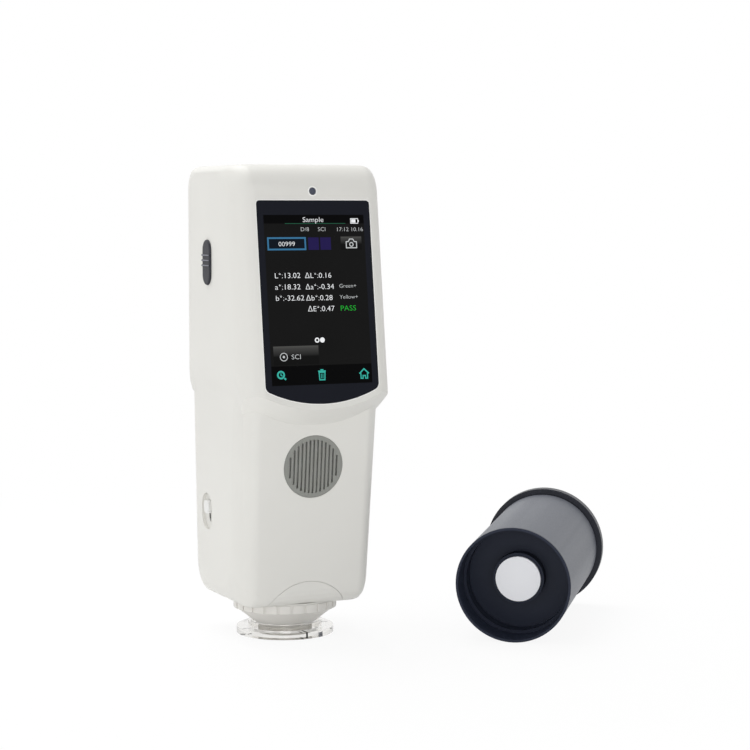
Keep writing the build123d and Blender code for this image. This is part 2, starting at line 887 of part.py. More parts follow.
# Metal base plate on four pads of the front cover, with a window over the nose
with BuildPart() as base_plate:
    with BuildSketch(Plane.XY.offset(base_z)):
        Rectangle(*base_size)
        Rectangle(base_window, base_window, mode=Mode.SUBTRACT)
    extrude(amount=base_thick)
base_plate.part.label = "base_plate"
export_step(base_plate.part, "parts/base_plate.step")

# Integrating sphere, a round hollow between two moulded blocks
block_low = base_z + base_thick
block_high = sphere_z + sphere_inner + sphere_cap
tilt = radians(viewing_angle)
viewing_dir = Vector(sin(tilt), 0, cos(tilt))
with BuildSketch() as block_outline:
    Rectangle(sphere_block, sphere_block)
    chamfer(block_outline.vertices(), sphere_bevel)
with BuildPart() as sphere_hollow:
    Box(2 * sphere_inner, 2 * sphere_inner, 2 * sphere_inner)
    for plane in (Plane.XY, Plane.XZ, Plane.YZ):
        with BuildSketch(plane):
            RegularPolygon(sphere_inner, sphere_sides, major_radius=False)
        extrude(amount=sphere_inner, both=True, mode=Mode.INTERSECT)

with BuildPart() as sphere_lower:
    with BuildSketch(Plane.XY.offset(block_low)):
        add(block_outline.sketch)
    extrude(amount=sphere_z - block_low)
    with Locations((0, 0, sphere_z)):
        add(sphere_hollow.part, mode=Mode.SUBTRACT)
    with BuildSketch(Plane.XY.offset(block_low)):
        Circle(sphere_port)
    extrude(amount=sphere_inner, mode=Mode.SUBTRACT)
sphere_lower.part.label = "sphere_lower"
export_step(sphere_lower.part, "parts/sphere_lower.step")

# The upper block has the viewing port, the camera's window and the lamp's window
with BuildPart() as sphere_upper:
    with BuildSketch(Plane.XY.offset(sphere_z)):
        add(block_outline.sketch)
    extrude(amount=block_high - sphere_z)
    with Locations((0, 0, sphere_z)):
        add(sphere_hollow.part, mode=Mode.SUBTRACT)
    with BuildSketch(Plane((0, 0, 0), z_dir=viewing_dir)):
        Circle(barrel_bore)
    extrude(amount=2 * block_high, mode=Mode.SUBTRACT)
    with BuildSketch(Plane.XY.offset(block_high)):
        with Locations((camera_x, camera_y)):
            Rectangle(camera_lens, camera_lens)
    extrude(amount=-sphere_inner, mode=Mode.SUBTRACT)
    with BuildSketch(Plane.XZ.offset(-sphere_block / 2)):
        with Locations((0, lamp_z)):
            Rectangle(lamp_chip + 2 * slide_gap, lamp_chip + 2 * slide_gap)
    extrude(amount=sphere_inner, mode=Mode.SUBTRACT)
sphere_upper.part.label = "sphere_upper"
export_step(sphere_upper.part, "parts/sphere_upper.step")

# Lens barrel of the viewing port, from the block up to the spectrometer's floor
with BuildPart() as lens_barrel:
    with BuildSketch(Plane((0, 0, 0), z_dir=viewing_dir)):
        Rectangle(barrel_side, barrel_side)
        Circle(barrel_bore, mode=Mode.SUBTRACT)
    extrude(amount=2 * spectrometer_z)
    with BuildSketch(Plane.XY.offset(block_high)):
        Rectangle(sphere_block, sphere_block)
    extrude(amount=spectrometer_z - block_high, mode=Mode.INTERSECT)
lens_barrel.part.label = "lens_barrel"
export_step(lens_barrel.part, "parts/lens_barrel.step")

# Camera that shows the measured spot, over its window
with BuildPart() as camera_module:
    with BuildSketch(Plane.XY.offset(block_high)):
        with Locations((camera_x, camera_y)):
            Rectangle(camera_side, camera_side)
    extrude(amount=camera_tall)
camera_module.part.label = "camera_module"
export_step(camera_module.part, "parts/camera_module.step")

# Lamp card on the upper block's back, its light-emitting chip in the window
with BuildPart() as lamp_card:
    with BuildSketch(Plane.XZ.offset(-sphere_block / 2)):
        with Locations((0, lamp_z)):
            Rectangle(*lamp_card_size)
    extrude(amount=-card_thick)
    with BuildSketch(Plane.XZ.offset(-sphere_block / 2)):
        with Locations((0, lamp_z)):
            Rectangle(lamp_chip, lamp_chip)
    extrude(amount=lamp_chip_tall)
lamp_card.part.label = "lamp_card"
export_step(lamp_card.part, "parts/lamp_card.step")

# Spectrometer: housing against the frame, lid, grating and line sensor
spec_wide, spec_deep, spec_tall = spectrometer_size
spec_mid_z = spectrometer_z + spec_tall / 2
spec_front = frame_front_y - spec_deep
port_x = spectrometer_z * tan(tilt)
with BuildPart() as spectrometer_housing:
    with BuildSketch(Plane.XZ.offset(-frame_front_y)):
        with Locations((spectrometer_x, spec_mid_z)):
            Rectangle(spec_wide, spec_tall)
    extrude(amount=spec_deep - spectrometer_wall)
    with BuildSketch(Plane.XZ.offset(-frame_front_y + spectrometer_wall)):
        with Locations((spectrometer_x, spec_mid_z)):
            Rectangle(spec_wide - 2 * spectrometer_wall, spec_tall - 2 * spectrometer_wall)
    extrude(amount=spec_deep, mode=Mode.SUBTRACT)
    with BuildSketch(Plane.XY.offset(spectrometer_z)):
        with Locations((port_x, 0)):
            Circle(barrel_bore)
    extrude(amount=2 * spectrometer_wall, mode=Mode.SUBTRACT)
spectrometer_housing.part.label = "spectrometer_housing"
export_step(spectrometer_housing.part, "parts/spectrometer_housing.step")

with BuildPart() as spectrometer_lid:
    with BuildSketch(Plane.XZ.offset(-spec_front)):
        with Locations((spectrometer_x, spec_mid_z)):
            Rectangle(spec_wide, spec_tall)
    extrude(amount=-spectrometer_wall)
spectrometer_lid.part.label = "spectrometer_lid"
export_step(spectrometer_lid.part, "parts/spectrometer_lid.step")

# Concave grating under the spectrometer's roof, and the line sensor on its floor
room_low = spectrometer_z + spectrometer_wall
room_high = spectrometer_z + spec_tall - spectrometer_wall
with BuildPart() as grating:
    with BuildSketch(Plane.XY.offset(room_high)):
        with Locations((port_x, 0)):
            Rectangle(grating_size, grating_size)
    extrude(amount=-grating_thick)
    with BuildSketch(Plane.XZ.offset(grating_size / 2)):
        with Locations((port_x, room_high - grating_thick / 2 - grating_radius)):
            Circle(grating_radius)
    extrude(amount=-grating_size, mode=Mode.SUBTRACT)
grating.part.label = "grating"
export_step(grating.part, "parts/grating.step")

with BuildPart() as line_sensor:
    with BuildSketch(Plane.XY.offset(room_low)):
        with Locations((spectrometer_x + sensor_x, sensor_y)):
            Rectangle(*sensor_size)
    extrude(amount=card_thick)
    with BuildSketch(Plane.XY.offset(room_low + card_thick)):
        with Locations((spectrometer_x + sensor_x, sensor_y)):
            Rectangle(*sensor_chip)
    extrude(amount=sensor_chip_tall)
line_sensor.part.label = "line_sensor"
export_step(line_sensor.part, "parts/line_sensor.step")

# Main board behind the display, with its larger components on the back
with BuildPart() as main_board:
    with BuildSketch(Plane.XZ.offset(board_y)):
        with Locations((0, board_z)):
            Rectangle(*board_size)
    extrude(amount=-board_thick)
main_board.part.label = "main_board"
export_step(main_board.part, "parts/main_board.step")

with BuildPart() as board_chips:
    with BuildSketch(Plane.XZ.offset(board_y - board_thick)):
        for across, up, wide, tall in low_chips:
            with Locations((across, board_z + up)):
                Rectangle(wide, tall)
    extrude(amount=-low_chip_tall)
    with BuildSketch(Plane.XZ.offset(board_y - board_thick)):
        for across, up, wide, tall in high_chips:
            with Locations((across, board_z + up)):
                Rectangle(wide, tall)
    extrude(amount=-high_chip_tall)
board_chips.part.label = "board_chips"
export_step(board_chips.part, "parts/board_chips.step")

# Inner frame on the rear cover's posts, with two windows
with BuildPart() as inner_frame:
    with BuildSketch(Plane.XZ.offset(-parting_y)):
        with Locations((0, frame_mid_z)):
            Rectangle(*frame_size)
            with GridLocations(0, frame_windows_apart, 1, 2):
                Rectangle(*frame_window, mode=Mode.SUBTRACT)
    extrude(amount=frame_thick)
inner_frame.part.label = "inner_frame"
export_step(inner_frame.part, "parts/inner_frame.step")

# Battery tray on the frame, open to the front, and the battery pack in it
pack_wide, pack_deep, pack_tall = pack_size
pack_mid_z = pack_low + pack_tall / 2
with BuildPart() as battery_holder:
    with BuildSketch(Plane.XZ.offset(-frame_front_y)):
        with Locations((0, pack_mid_z)):
            Rectangle(
                pack_wide + 2 * (slide_gap + holder_wall), pack_tall + 2 * (slide_gap + holder_wall)
            )
    extrude(amount=holder_wall + holder_rim)
    with BuildSketch(Plane.XZ.offset(-frame_front_y + holder_wall)):
        with Locations((0, pack_mid_z)):
            Rectangle(pack_wide + 2 * slide_gap, pack_tall + 2 * slide_gap)
    extrude(amount=holder_rim, mode=Mode.SUBTRACT)
battery_holder.part.label = "battery_holder"
export_step(battery_holder.part, "parts/battery_holder.step")

with BuildPart() as battery_pack:
    with BuildSketch(Plane.XZ.offset(-frame_front_y + holder_wall)):
        with Locations((0, pack_mid_z)):
            Rectangle(pack_wide, pack_tall)
    extrude(amount=pack_deep)
battery_pack.part.label = "battery_pack"
export_step(battery_pack.part, "parts/battery_pack.step")

# Two screws from the back, with their heads at the bottom of the counterbores
with BuildPart() as cover_screws:
    for x, z in cover_screws_at:
        add(screw(Plane((x, parting_y + screw_seat, z), x_dir=(-1, 0, 0), z_dir=(0, 1, 0))))
cover_screws.part.label = "cover_screws"
export_step(cover_screws.part, "parts/cover_screws.step")

# Calibration cup: it lies on the rim of its mouth and on the edge of its base cap
cup_turn = radians(cup_heading)
cup_rise = atan2(base_cap_radius - cup_radius, cup_length - base_cap_thick)
cup_axis_dir = Vector(sin(cup_turn) * cos(cup_rise), cos(cup_turn) * cos(cup_rise), sin(cup_rise))
cup_across = Vector(cos(cup_turn), -sin(cup_turn), 0)
cup_mouth = Vector(cup_x, cup_y, cup_radius * cos(cup_rise))
cup_axis = Axis(cup_mouth, cup_axis_dir)
# Half section of the cup: x outwards from its axis, y into the cup from its mouth
cup_section = Plane(cup_mouth, x_dir=cup_across, z_dir=cup_across.cross(cup_axis_dir))
barrel_long = cup_length - base_cap_thick
chamber_radius = cup_radius - cup_wall
tile_deep = floor_deep - pedestal_tall
with BuildPart() as cup_barrel:
    with BuildSketch(cup_section):
        with BuildLine():
            Polyline(
                (0, tile_deep),
                (pedestal_radius, tile_deep),
                (pedestal_radius, floor_deep),
                (cup_bore - step_in, floor_deep),
                (cup_bore - step_in, socket_deep),
                (cup_bore, socket_deep),
                (cup_bore, 0),
                (cup_radius, 0),
                (cup_radius, barrel_long - groove_wide),
                (chamber_radius, barrel_long - groove_wide),
                (chamber_radius, floor_deep + floor_thick),
                (0, floor_deep + floor_thick),
                close=True,
            )
        make_face()
    revolve(axis=cup_axis)
cup_barrel.part.label = "cup_barrel"
export_step(cup_barrel.part, "parts/cup_barrel.step")

with BuildPart() as white_tile:
    with BuildSketch(Plane(cup_mouth + cup_axis_dir * tile_deep, z_dir=-cup_axis_dir)):
        Circle(tile_radius)
    extrude(amount=tile_thick)
white_tile.part.label = "white_tile"
export_step(white_tile.part, "parts/white_tile.step")

# Base cap with the neck that stands against the barrel
cap_plane = Plane(cup_mouth + cup_axis_dir * barrel_long, z_dir=cup_axis_dir)
with BuildPart() as cup_base_cap:
    with BuildSketch(cap_plane):
        Circle(groove_radius)
    extrude(amount=-groove_wide)
    with BuildSketch(cap_plane):
        Circle(base_cap_radius)
    extrude(amount=base_cap_thick)
cup_base_cap.part.label = "cup_base_cap"
export_step(cup_base_cap.part, "parts/cup_base_cap.step")
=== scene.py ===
"""Looks of the portable spectrophotometer, its clear locating plate and its calibration cup.

The frame is the CAD's, in metres. Sizes in millimetres are multiplied by MM where they are used.
"""
import json
from math import cos, pi, radians, sin, sqrt

import bmesh
import bpy
from mathutils import Matrix, Vector

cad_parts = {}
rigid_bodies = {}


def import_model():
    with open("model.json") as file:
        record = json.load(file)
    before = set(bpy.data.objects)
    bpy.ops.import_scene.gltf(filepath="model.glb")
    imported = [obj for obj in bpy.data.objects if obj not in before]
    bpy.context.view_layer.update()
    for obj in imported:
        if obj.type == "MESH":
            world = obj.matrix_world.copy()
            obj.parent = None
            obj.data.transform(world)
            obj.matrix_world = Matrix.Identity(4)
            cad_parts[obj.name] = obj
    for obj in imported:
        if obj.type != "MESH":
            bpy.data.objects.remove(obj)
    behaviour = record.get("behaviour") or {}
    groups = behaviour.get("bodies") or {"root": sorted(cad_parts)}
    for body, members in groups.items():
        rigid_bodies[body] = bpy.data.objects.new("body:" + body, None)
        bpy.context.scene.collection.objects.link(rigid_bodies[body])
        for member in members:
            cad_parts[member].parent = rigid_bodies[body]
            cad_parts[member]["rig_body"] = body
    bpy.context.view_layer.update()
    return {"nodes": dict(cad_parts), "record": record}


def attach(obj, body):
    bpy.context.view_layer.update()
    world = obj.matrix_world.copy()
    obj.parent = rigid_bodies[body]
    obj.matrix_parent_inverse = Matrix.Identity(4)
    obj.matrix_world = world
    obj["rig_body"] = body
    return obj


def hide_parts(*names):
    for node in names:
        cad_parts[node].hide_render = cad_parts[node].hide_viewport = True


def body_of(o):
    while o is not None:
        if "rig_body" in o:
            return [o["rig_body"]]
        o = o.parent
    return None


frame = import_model()
scene = bpy.context.scene
record = frame["record"]
MM = 0.001

# Camera: the photograph's place in metres, turn and field of view
CAMERA_PLACE = (-0.3656, -0.8836, 0.1941)
CAMERA_RIGHT = Vector((0.90651, -0.42218, 0.0))
CAMERA_UP = Vector((0.0333, 0.0715, 0.9969))
CAMERA_LENS = 100.38
SENSOR_WIDTH = 36.0
CLIP_START = 0.02

camera = bpy.data.objects.new("camera", bpy.data.cameras.new("camera"))
camera.data.lens = CAMERA_LENS
camera.data.sensor_width = SENSOR_WIDTH
camera.data.clip_start = CLIP_START
right = CAMERA_RIGHT.normalized()
up = (CAMERA_UP - right * CAMERA_UP.dot(right)).normalized()
camera_turn = Matrix((right, up, right.cross(up))).transposed().to_4x4()
camera.matrix_world = Matrix.Translation(CAMERA_PLACE) @ camera_turn
scene.collection.objects.link(camera)
scene.camera = camera
scene.view_settings.view_transform = "Standard"

# Materials
GLOSS_SPREAD = (0.85, 1.15)
BEVEL_SAMPLES = 6


def srgb(code):
    """Linear colour of a web colour such as e1e0dc."""
    parts = [int(code[i:i + 2], 16) / 255 for i in (0, 2, 4)]
    return tuple(c / 12.92 if c <= 0.04045 else ((c + 0.055) / 1.055) ** 2.4 for c in parts)


class Nodes:
    """Short calls for building one material's node tree."""

    def __init__(self, name):
        self.material = bpy.data.materials.new(name)
        self.material.use_nodes = True
        self.tree = self.material.node_tree
        self.shader = self.tree.nodes["Principled BSDF"]
        self.place = self.add("ShaderNodeTexCoord").outputs["Object"]

    def add(self, kind, **settings):
        node = self.tree.nodes.new(kind)
        for key, value in settings.items():
            setattr(node, key, value)
        return node

    def link(self, source, target):
        self.tree.links.new(source, target)

    def feed(self, socket, source):
        """Link a value to a socket of the material's main shader."""
        self.link(source, self.shader.inputs[socket])

    def axis(self, letter):
        """One coordinate of the place."""
        node = self.add("ShaderNodeSeparateXYZ")
        self.link(self.place, node.inputs["Vector"])
        return node.outputs[letter]

    def vector(self, operation, value, other=None):
        """Outputs of a step of vector maths, with a constant for its second value."""
        node = self.add("ShaderNodeVectorMath", operation=operation)
        self.link(value, node.inputs[0])
        if other:
            node.inputs[1].default_value = other
        return node.outputs

    def noise(self, scale, detail=3.0, place=None):
        node = self.add("ShaderNodeTexNoise")
        node.inputs["Scale"].default_value = scale
        node.inputs["Detail"].default_value = detail
        self.link(place or self.place, node.inputs["Vector"])
        return node.outputs["Fac"]

    def spread(self, value, low, high, start=0.3, end=0.7):
        """Map a value from start to end, by default the middle of a noise, to low to high."""
        node = self.add("ShaderNodeMapRange")
        limits = (("From Min", start), ("From Max", end), ("To Min", low), ("To Max", high))
        for key, number in limits:
            node.inputs[key].default_value = number
        self.link(value, node.inputs["Value"])
        return node.outputs["Result"]

    def blend(self, factor, first, second):
        """A mix of two colours, each a constant or a socket."""
        node = self.add("ShaderNodeMix", data_type="RGBA")
        self.link(factor, node.inputs["Factor"])
        for socket, colour in ((node.inputs[6], first), (node.inputs[7], second)):
            if isinstance(colour, tuple):
                socket.default_value = (*colour, 1)
            else:
                self.link(colour, socket)
        return node.outputs[2]

    def round_edge(self, radius):
        """Normals that round the edges off, by a radius in metres."""
        node = self.add("ShaderNodeBevel", samples=BEVEL_SAMPLES)
        node.inputs["Radius"].default_value = radius
        return node.outputs["Normal"]

    def bump(self, height, depth, below=None):
        """Normals of a relief, so many metres deep, over other normals or the bare surface."""
        node = self.add("ShaderNodeBump")
        node.inputs["Strength"].default_value = 1.0
        node.inputs["Distance"].default_value = depth
        self.link(height, node.inputs["Height"])
        if below:
            self.link(below, node.inputs["Normal"])
        return node.outputs["Normal"]

    def set(self, **values):
        """Constants of the main shader."""
        names = {
            "metal": "Metallic", "specular": "Specular IOR Level", "ior": "IOR",
            "clear": "Transmission Weight", "glow": "Emission Strength",
        }
        for key, value in values.items():
            self.shader.inputs[names[key]].default_value = value


def finish(name, colour, rough, mottle, patch, grain, depth, edge=0.0, **values):
    """A moulded, painted or cast finish: slight colour drift, a fine grain and uneven gloss.

    Patch and grain are scales of noise. Depth and edge are in millimetres.
    """
    nodes = Nodes(name)
    tone = srgb(colour)
    darker = tuple(c * (1 - mottle) for c in tone)
    drift = nodes.spread(nodes.noise(patch), 0.0, 1.0)
    nodes.feed("Base Color", nodes.blend(drift, darker, tone))
    fine = nodes.noise(grain, 2.0)
    glossy, dull = (rough * factor for factor in GLOSS_SPREAD)
    nodes.feed("Roughness", nodes.spread(fine, glossy, min(dull, 1.0)))
    below = nodes.round_edge(edge * MM) if edge else None
    nodes.feed("Normal", nodes.bump(fine, depth * MM, below))
    nodes.set(**values)
    return nodes.material


# One finish for each of the record's material slots
finishes = {
    "housing": finish("housing_plastic", "e2e1dc", rough=0.42, mottle=0.025, patch=25.0,
                      grain=2600.0, depth=0.012, edge=0.35, specular=0.35),
    "ring": finish("ring_plastic", "e3e1dc", rough=0.38, mottle=0.04, patch=80.0,
                   grain=3000.0, depth=0.01, edge=0.15, specular=0.4),
    "glass": finish("printed_glass", "1b1d25", rough=0.08, mottle=0.12, patch=20.0,
                    grain=400.0, depth=0.0004, specular=0.05),
    "panel": finish("display_panel", "15161a", rough=0.3, mottle=0.1, patch=60.0,
                    grain=3000.0, depth=0.02, specular=0.3),
    "lens": finish("indicator_lens", "4b5060", rough=0.15, mottle=0.3, patch=900.0,
                   grain=900.0, depth=0.002, specular=0.35),
    "grille": finish("grille_plastic", "8f908b", rough=0.5, mottle=0.05, patch=90.0,
                     grain=3200.0, depth=0.02, edge=0.12, specular=0.3),
    "button": finish("button_rubber", "3f4049", rough=0.48, mottle=0.08, patch=150.0,
                     grain=2600.0, depth=0.02, edge=0.2, specular=0.3),
    "knob": finish("knob_plastic", "e9e9e7", rough=0.4, mottle=0.04, patch=120.0,
                   grain=2600.0, depth=0.01, edge=0.15, specular=0.4),
    "inner_plastic": finish("inner_plastic", "2b2d31", rough=0.55, mottle=0.1, patch=80.0,
                            grain=2400.0, depth=0.03, specular=0.35),
    "socket": finish("socket_metal", "b7b9bc", rough=0.32, mottle=0.06, patch=200.0,
                     grain=2600.0, depth=0.004, metal=1.0),
    "card": finish("circuit_card", "1f5a37", rough=0.42, mottle=0.25, patch=180.0,
                   grain=1500.0, depth=0.02, specular=0.5),
    "inner_metal": finish("inner_metal", "a9adb2", rough=0.36, mottle=0.08, patch=60.0,
                          grain=1800.0, depth=0.006, metal=1.0),
    "sphere_white": finish("sphere_coating", "f2f2ef", rough=0.92, mottle=0.02, patch=60.0,
                           grain=2200.0, depth=0.05, specular=0.1),
    "screw_steel": finish("screw_steel", "8e9094", rough=0.3, mottle=0.1, patch=300.0,
                          grain=2400.0, depth=0.004, metal=1.0),
    "grating_mirror": finish("grating_mirror", "b9bfd0", rough=0.12, mottle=0.3, patch=260.0,
                             grain=1800.0, depth=0.002, metal=1.0),
    "battery": finish("battery_wrap", "2f6a9c", rough=0.4, mottle=0.08, patch=60.0,
                      grain=1600.0, depth=0.02, specular=0.4),
    # Line ink, which also paints the shade of the power switch's slot
    "black_line": finish("line_ink_and_slot_shade", "101012", rough=0.5, mottle=0.1, patch=200.0,
                         grain=2000.0, depth=0.005, specular=0.3),
    "cup_black": finish("cup_black", "22252f", rough=0.4, mottle=0.1, patch=60.0,
                        grain=1600.0, depth=0.01, edge=0.2, specular=0.35),
    "white_ceramic": finish("white_ceramic", "fafbff", rough=0.35, mottle=0.015, patch=70.0,
                            grain=2200.0, depth=0.004, edge=0.1, specular=0.5),
}


def clear_plastic():
    """Clear acrylic with faint moulding waves."""
    nodes = Nodes("clear_acrylic")
    waves = nodes.noise(180.0, 2.0)
    tint = nodes.blend(nodes.spread(waves, 0.0, 1.0), srgb("e9e7e4"), srgb("f0efec"))
    nodes.feed("Base Color", tint)
    nodes.feed("Roughness", nodes.spread(waves, 0.02, 0.05))
    nodes.feed("Normal", nodes.bump(waves, 0.02 * MM))
    nodes.set(clear=1.0, ior=1.49)
    return nodes.material


finishes["clear_plate"] = clear_plastic()

# The lying cup: its mouth in metres and its axis, and the radii and depths in millimetres over
# which its moulded black turns to the satin grey of its outside
CUP_MOUTH = (0.08185, -0.0692, 0.026091)
CUP_AXIS = (0.614076, 0.788816, 0.026087)
SATIN_RADII = (25.6, 25.9)
SATIN_DEPTHS = (1.2, 1.6)


def barrel_finish():
    """The cup's black moulding, whose turned outside is a satin grey with streaks lengthwise."""
    nodes = Nodes("cup_barrel_satin")
    inward = nodes.vector("SUBTRACT", nodes.place, CUP_MOUTH)["Vector"]
    around = nodes.vector("CROSS_PRODUCT", inward, CUP_AXIS)["Vector"]
    radius = nodes.vector("LENGTH", around)["Value"]
    depth = nodes.vector("DOT_PRODUCT", inward, CUP_AXIS)["Value"]
    satin = nodes.add("ShaderNodeMath", operation="MULTIPLY")
    for i, (measure, limits) in enumerate(((radius, SATIN_RADII), (depth, SATIN_DEPTHS))):
        start, end = (limit * MM for limit in limits)
        nodes.link(nodes.spread(measure, 0.0, 1.0, start, end), satin.inputs[i])
    is_satin = satin.outputs["Value"]
    drift = nodes.spread(nodes.noise(45.0), 0.0, 1.0)
    streak = nodes.spread(nodes.noise(70.0, 2.0, around), 0.0, 1.0)
    moulded = nodes.blend(drift, srgb("242938"), srgb("2a2f3d"))
    turned = nodes.blend(streak, srgb("50545e"), srgb("74777e"))
    nodes.feed("Base Color", nodes.blend(is_satin, moulded, turned))
    fine = nodes.noise(1600.0, 2.0)
    nodes.feed("Roughness", nodes.spread(fine, 0.36, 0.46))
    nodes.feed("Metallic", nodes.spread(is_satin, 0.0, 0.15, 0.0, 1.0))
    nodes.feed("Normal", nodes.bump(fine, 0.01 * MM, nodes.round_edge(0.2 * MM)))
    nodes.set(specular=0.15)
    return nodes.material


def paint(item, material):
    item.data.materials.clear()
    item.data.materials.append(material)


for part in record["subparts"]:
    paint(frame["nodes"][part["node"]], finishes[part["material_slot"]])
paint(frame["nodes"]["cup_barrel"], barrel_finish())
# Painted light: the speaker cloth is near white so that the grille's shaded slits in front of it
# look lit
paint(frame["nodes"]["speaker"], finish("speaker_cloth_painted_light", "efefec", rough=0.85, mottle=0.15,
                                        patch=1400.0, grain=5200.0, depth=0.06, specular=0.1))


# Solids through rings of points
def band_faces(count, rings):
    """Faces between rings, one after another, of so many points each."""
    faces = []
    for i in range(rings - 1):
        for j in range(count):
            k = (j + 1) % count
            low, high = i * count, (i + 1) * count
            faces.append((low + j, low + k, high + k, high + j))
    return faces


def closed_stack(rings):
    """Corners and faces of a closed solid through rings of the same number of points."""
    count = len(rings[0])
    verts = [v for ring in rings for v in ring]
    ends = [tuple(range(count))[::-1], tuple(range(len(verts) - count, len(verts)))]
    return verts, ends + band_faces(count, len(rings))


def block(name, rings):
    """A closed solid that a cover is filled or cut with."""
    mesh = bpy.data.meshes.new(name)
    verts, faces = closed_stack(rings)
    mesh.from_pydata(verts, [], faces)
    item = bpy.data.objects.new(name, mesh)
    scene.collection.objects.link(item)
    return item


def add_piece(name, verts, faces, body, slot, material):
    """A mesh piece in the shared frame that rides on a body."""
    mesh = bpy.data.meshes.new(name)
    mesh.from_pydata([tuple(v) for v in verts], [], faces)
    mesh.update()
    item = bpy.data.objects.new(name, mesh)
    scene.collection.objects.link(item)
    mesh.materials.append(material)
    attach(item, body)
    return item


# Covers: corners closer than WELD metres are one, edges sharper than CREASE degrees stay sharp
WELD = 2e-6
CREASE = 26.0
LARGE_FACE_WEIGHT = 50


def smooth_cover(node, name, slot, changes=()):
    """A cover, filled or cut by blocks, whose rolled strips are welded and shade as one roll."""
    source = bmesh.new()
    source.from_mesh(frame["nodes"][node].data)
    bmesh.ops.remove_doubles(source, verts=source.verts, dist=WELD)
    source.verts.index_update()
    verts = [v.co.copy() for v in source.verts]
    faces = [[v.index for v in f.verts] for f in source.faces]
    source.free()
    body = body_of(frame["nodes"][node])[0]
    item = add_piece(name, verts, faces, body, slot, finishes[slot])
    for operation, tool in changes:
        change = item.modifiers.new("change", "BOOLEAN")
        change.operation = operation
        change.solver = "EXACT"
        change.object = tool
        evaluated = item.evaluated_get(bpy.context.evaluated_depsgraph_get())
        changed = bpy.data.meshes.new_from_object(evaluated)
        item.modifiers.clear()
        item.data = changed
        paint(item, finishes[slot])
        bpy.data.objects.remove(tool)
    work = bmesh.new()
    work.from_mesh(item.data)
    for face in work.faces:
        face.smooth = True
    for edge in work.edges:
        edge.smooth = edge.is_manifold and edge.calc_face_angle(pi) < radians(CREASE)
    work.to_mesh(item.data)
    work.free()
    even = item.modifiers.new("even", "WEIGHTED_NORMAL")
    even.keep_sharp = True
    even.weight = LARGE_FACE_WEIGHT
    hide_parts(node)
    return item


# Measuring button: a slot shape with round ends on the left side, in millimetres. The places
# along x are those of the fill in the CAD's opening, of the cut and of the button's inner lip.
BUTTON_Y = 3.0
BUTTON_Z = 170.4
BUTTON_HALF = 4.7
BUTTON_STRAIGHT = 5.55
BUTTON_GAP = 0.3
SIDE_X = -35.8
FILL_GROW = 1.5
FILL_X = (-33.7, SIDE_X + 0.01)
CUT_X = (-33.0, -38.0)
LIP_GROW = 1.2
LIP_X = (-32.35, -33.35)
# The rim from the side outward: how far it is grown and how far it stands proud
BUTTON_RIM = ((0.0, 0.45), (-0.15, 0.75), (-0.45, 0.93), (-0.9, 1.0))
# Three finger ridges across the face, and where along x their crests get a painted highlight
RIDGES_UP = (-1.4, 0.9, 3.2)
RIDGE_HALF = 0.5
RIDGE_PROUD = 1.5
RIDGE_FOOT = 0.4
RIDGE_INSET = 0.1
RIDGE_STEPS = 8
CREST_HIGHLIGHT_X = (-37.25, -37.0)


def stadium(grow, x, steps=10):
    """Outline of the measuring button at a depth, grown by a gap, in metres."""
    radius = BUTTON_HALF + grow
    points = []
    for end in (1, -1):
        for i in range(steps + 1):
            turn = pi * i / steps
            y = BUTTON_Y + end * radius * cos(turn)
            z = BUTTON_Z + end * (BUTTON_STRAIGHT + radius * sin(turn))
            points.append(Vector((x, y, z)) * MM)
    return points


def ridge_end(up_by, hand):
    """Half round outline of a finger ridge at one of its ends, in metres."""
    y = BUTTON_Y + hand * (BUTTON_HALF - RIDGE_INSET)
    points = []
    for i in range(RIDGE_STEPS + 1):
        turn = pi * i / RIDGE_STEPS
        x = SIDE_X - RIDGE_FOOT - (RIDGE_PROUD - RIDGE_FOOT) * sin(turn)
        points.append(Vector((x, y, BUTTON_Z + up_by + RIDGE_HALF * cos(turn))) * MM)
    return points


def button_finish():
    """Dark rubber, with a painted highlight in pale grey on the crests of its raised finger ridges.
    """
    nodes = Nodes("button_ridged")
    crest, side = (x * MM for x in CREST_HIGHLIGHT_X)
    # Painted highlight: the crests, the parts that stand out most along x, turn pale grey for the
    # light they catch
    crest_highlight = nodes.spread(nodes.axis("X"), 1.0, 0.0, crest, side)
    grain = nodes.noise(2600.0, 2.0)
    drift = nodes.spread(nodes.noise(150.0), 0.0, 1.0)
    body = nodes.blend(drift, srgb("25262d"), srgb("2c2d35"))
    ridge = nodes.blend(nodes.spread(grain, 0.0, 1.0), srgb("74757f"), srgb("8a8b94"))
    nodes.feed("Base Color", nodes.blend(crest_highlight, body, ridge))
    nodes.feed("Roughness", nodes.spread(grain, 0.42, 0.56))
    nodes.feed("Normal", nodes.bump(grain, 0.02 * MM))
    nodes.set(specular=0.3)
    return nodes.material


pointed_fill = block("pointed_fill", [stadium(FILL_GROW, x) for x in FILL_X])
round_cut = block("round_cut", [stadium(BUTTON_GAP, x) for x in CUT_X])
smooth_cover("front_cover", "front_housing", "housing",
             changes=[("UNION", pointed_fill), ("DIFFERENCE", round_cut)])
smooth_cover("rear_cover", "rear_housing", "housing")
smooth_cover("base_arch", "arch_insert", "housing")
smooth_cover("aperture_cone", "nose_cone", "ring")

button_rings = [stadium(LIP_GROW, x) for x in LIP_X] + [stadium(0.0, LIP_X[1])]
button_rings += [stadium(grow, SIDE_X - proud) for grow, proud in BUTTON_RIM]
button_verts, button_faces = closed_stack(button_rings)
for up_by in RIDGES_UP:
    start = len(button_verts)
    ridge_verts, ridge_faces = closed_stack([ridge_end(up_by, hand) for hand in (-1, 1)])
    button_verts += ridge_verts
    button_faces += [tuple(start + i for i in face) for face in ridge_faces]
button = add_piece("button_slot_shaped", button_verts, button_faces, "measure_button", "button",
                   button_finish())
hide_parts("measure_button")

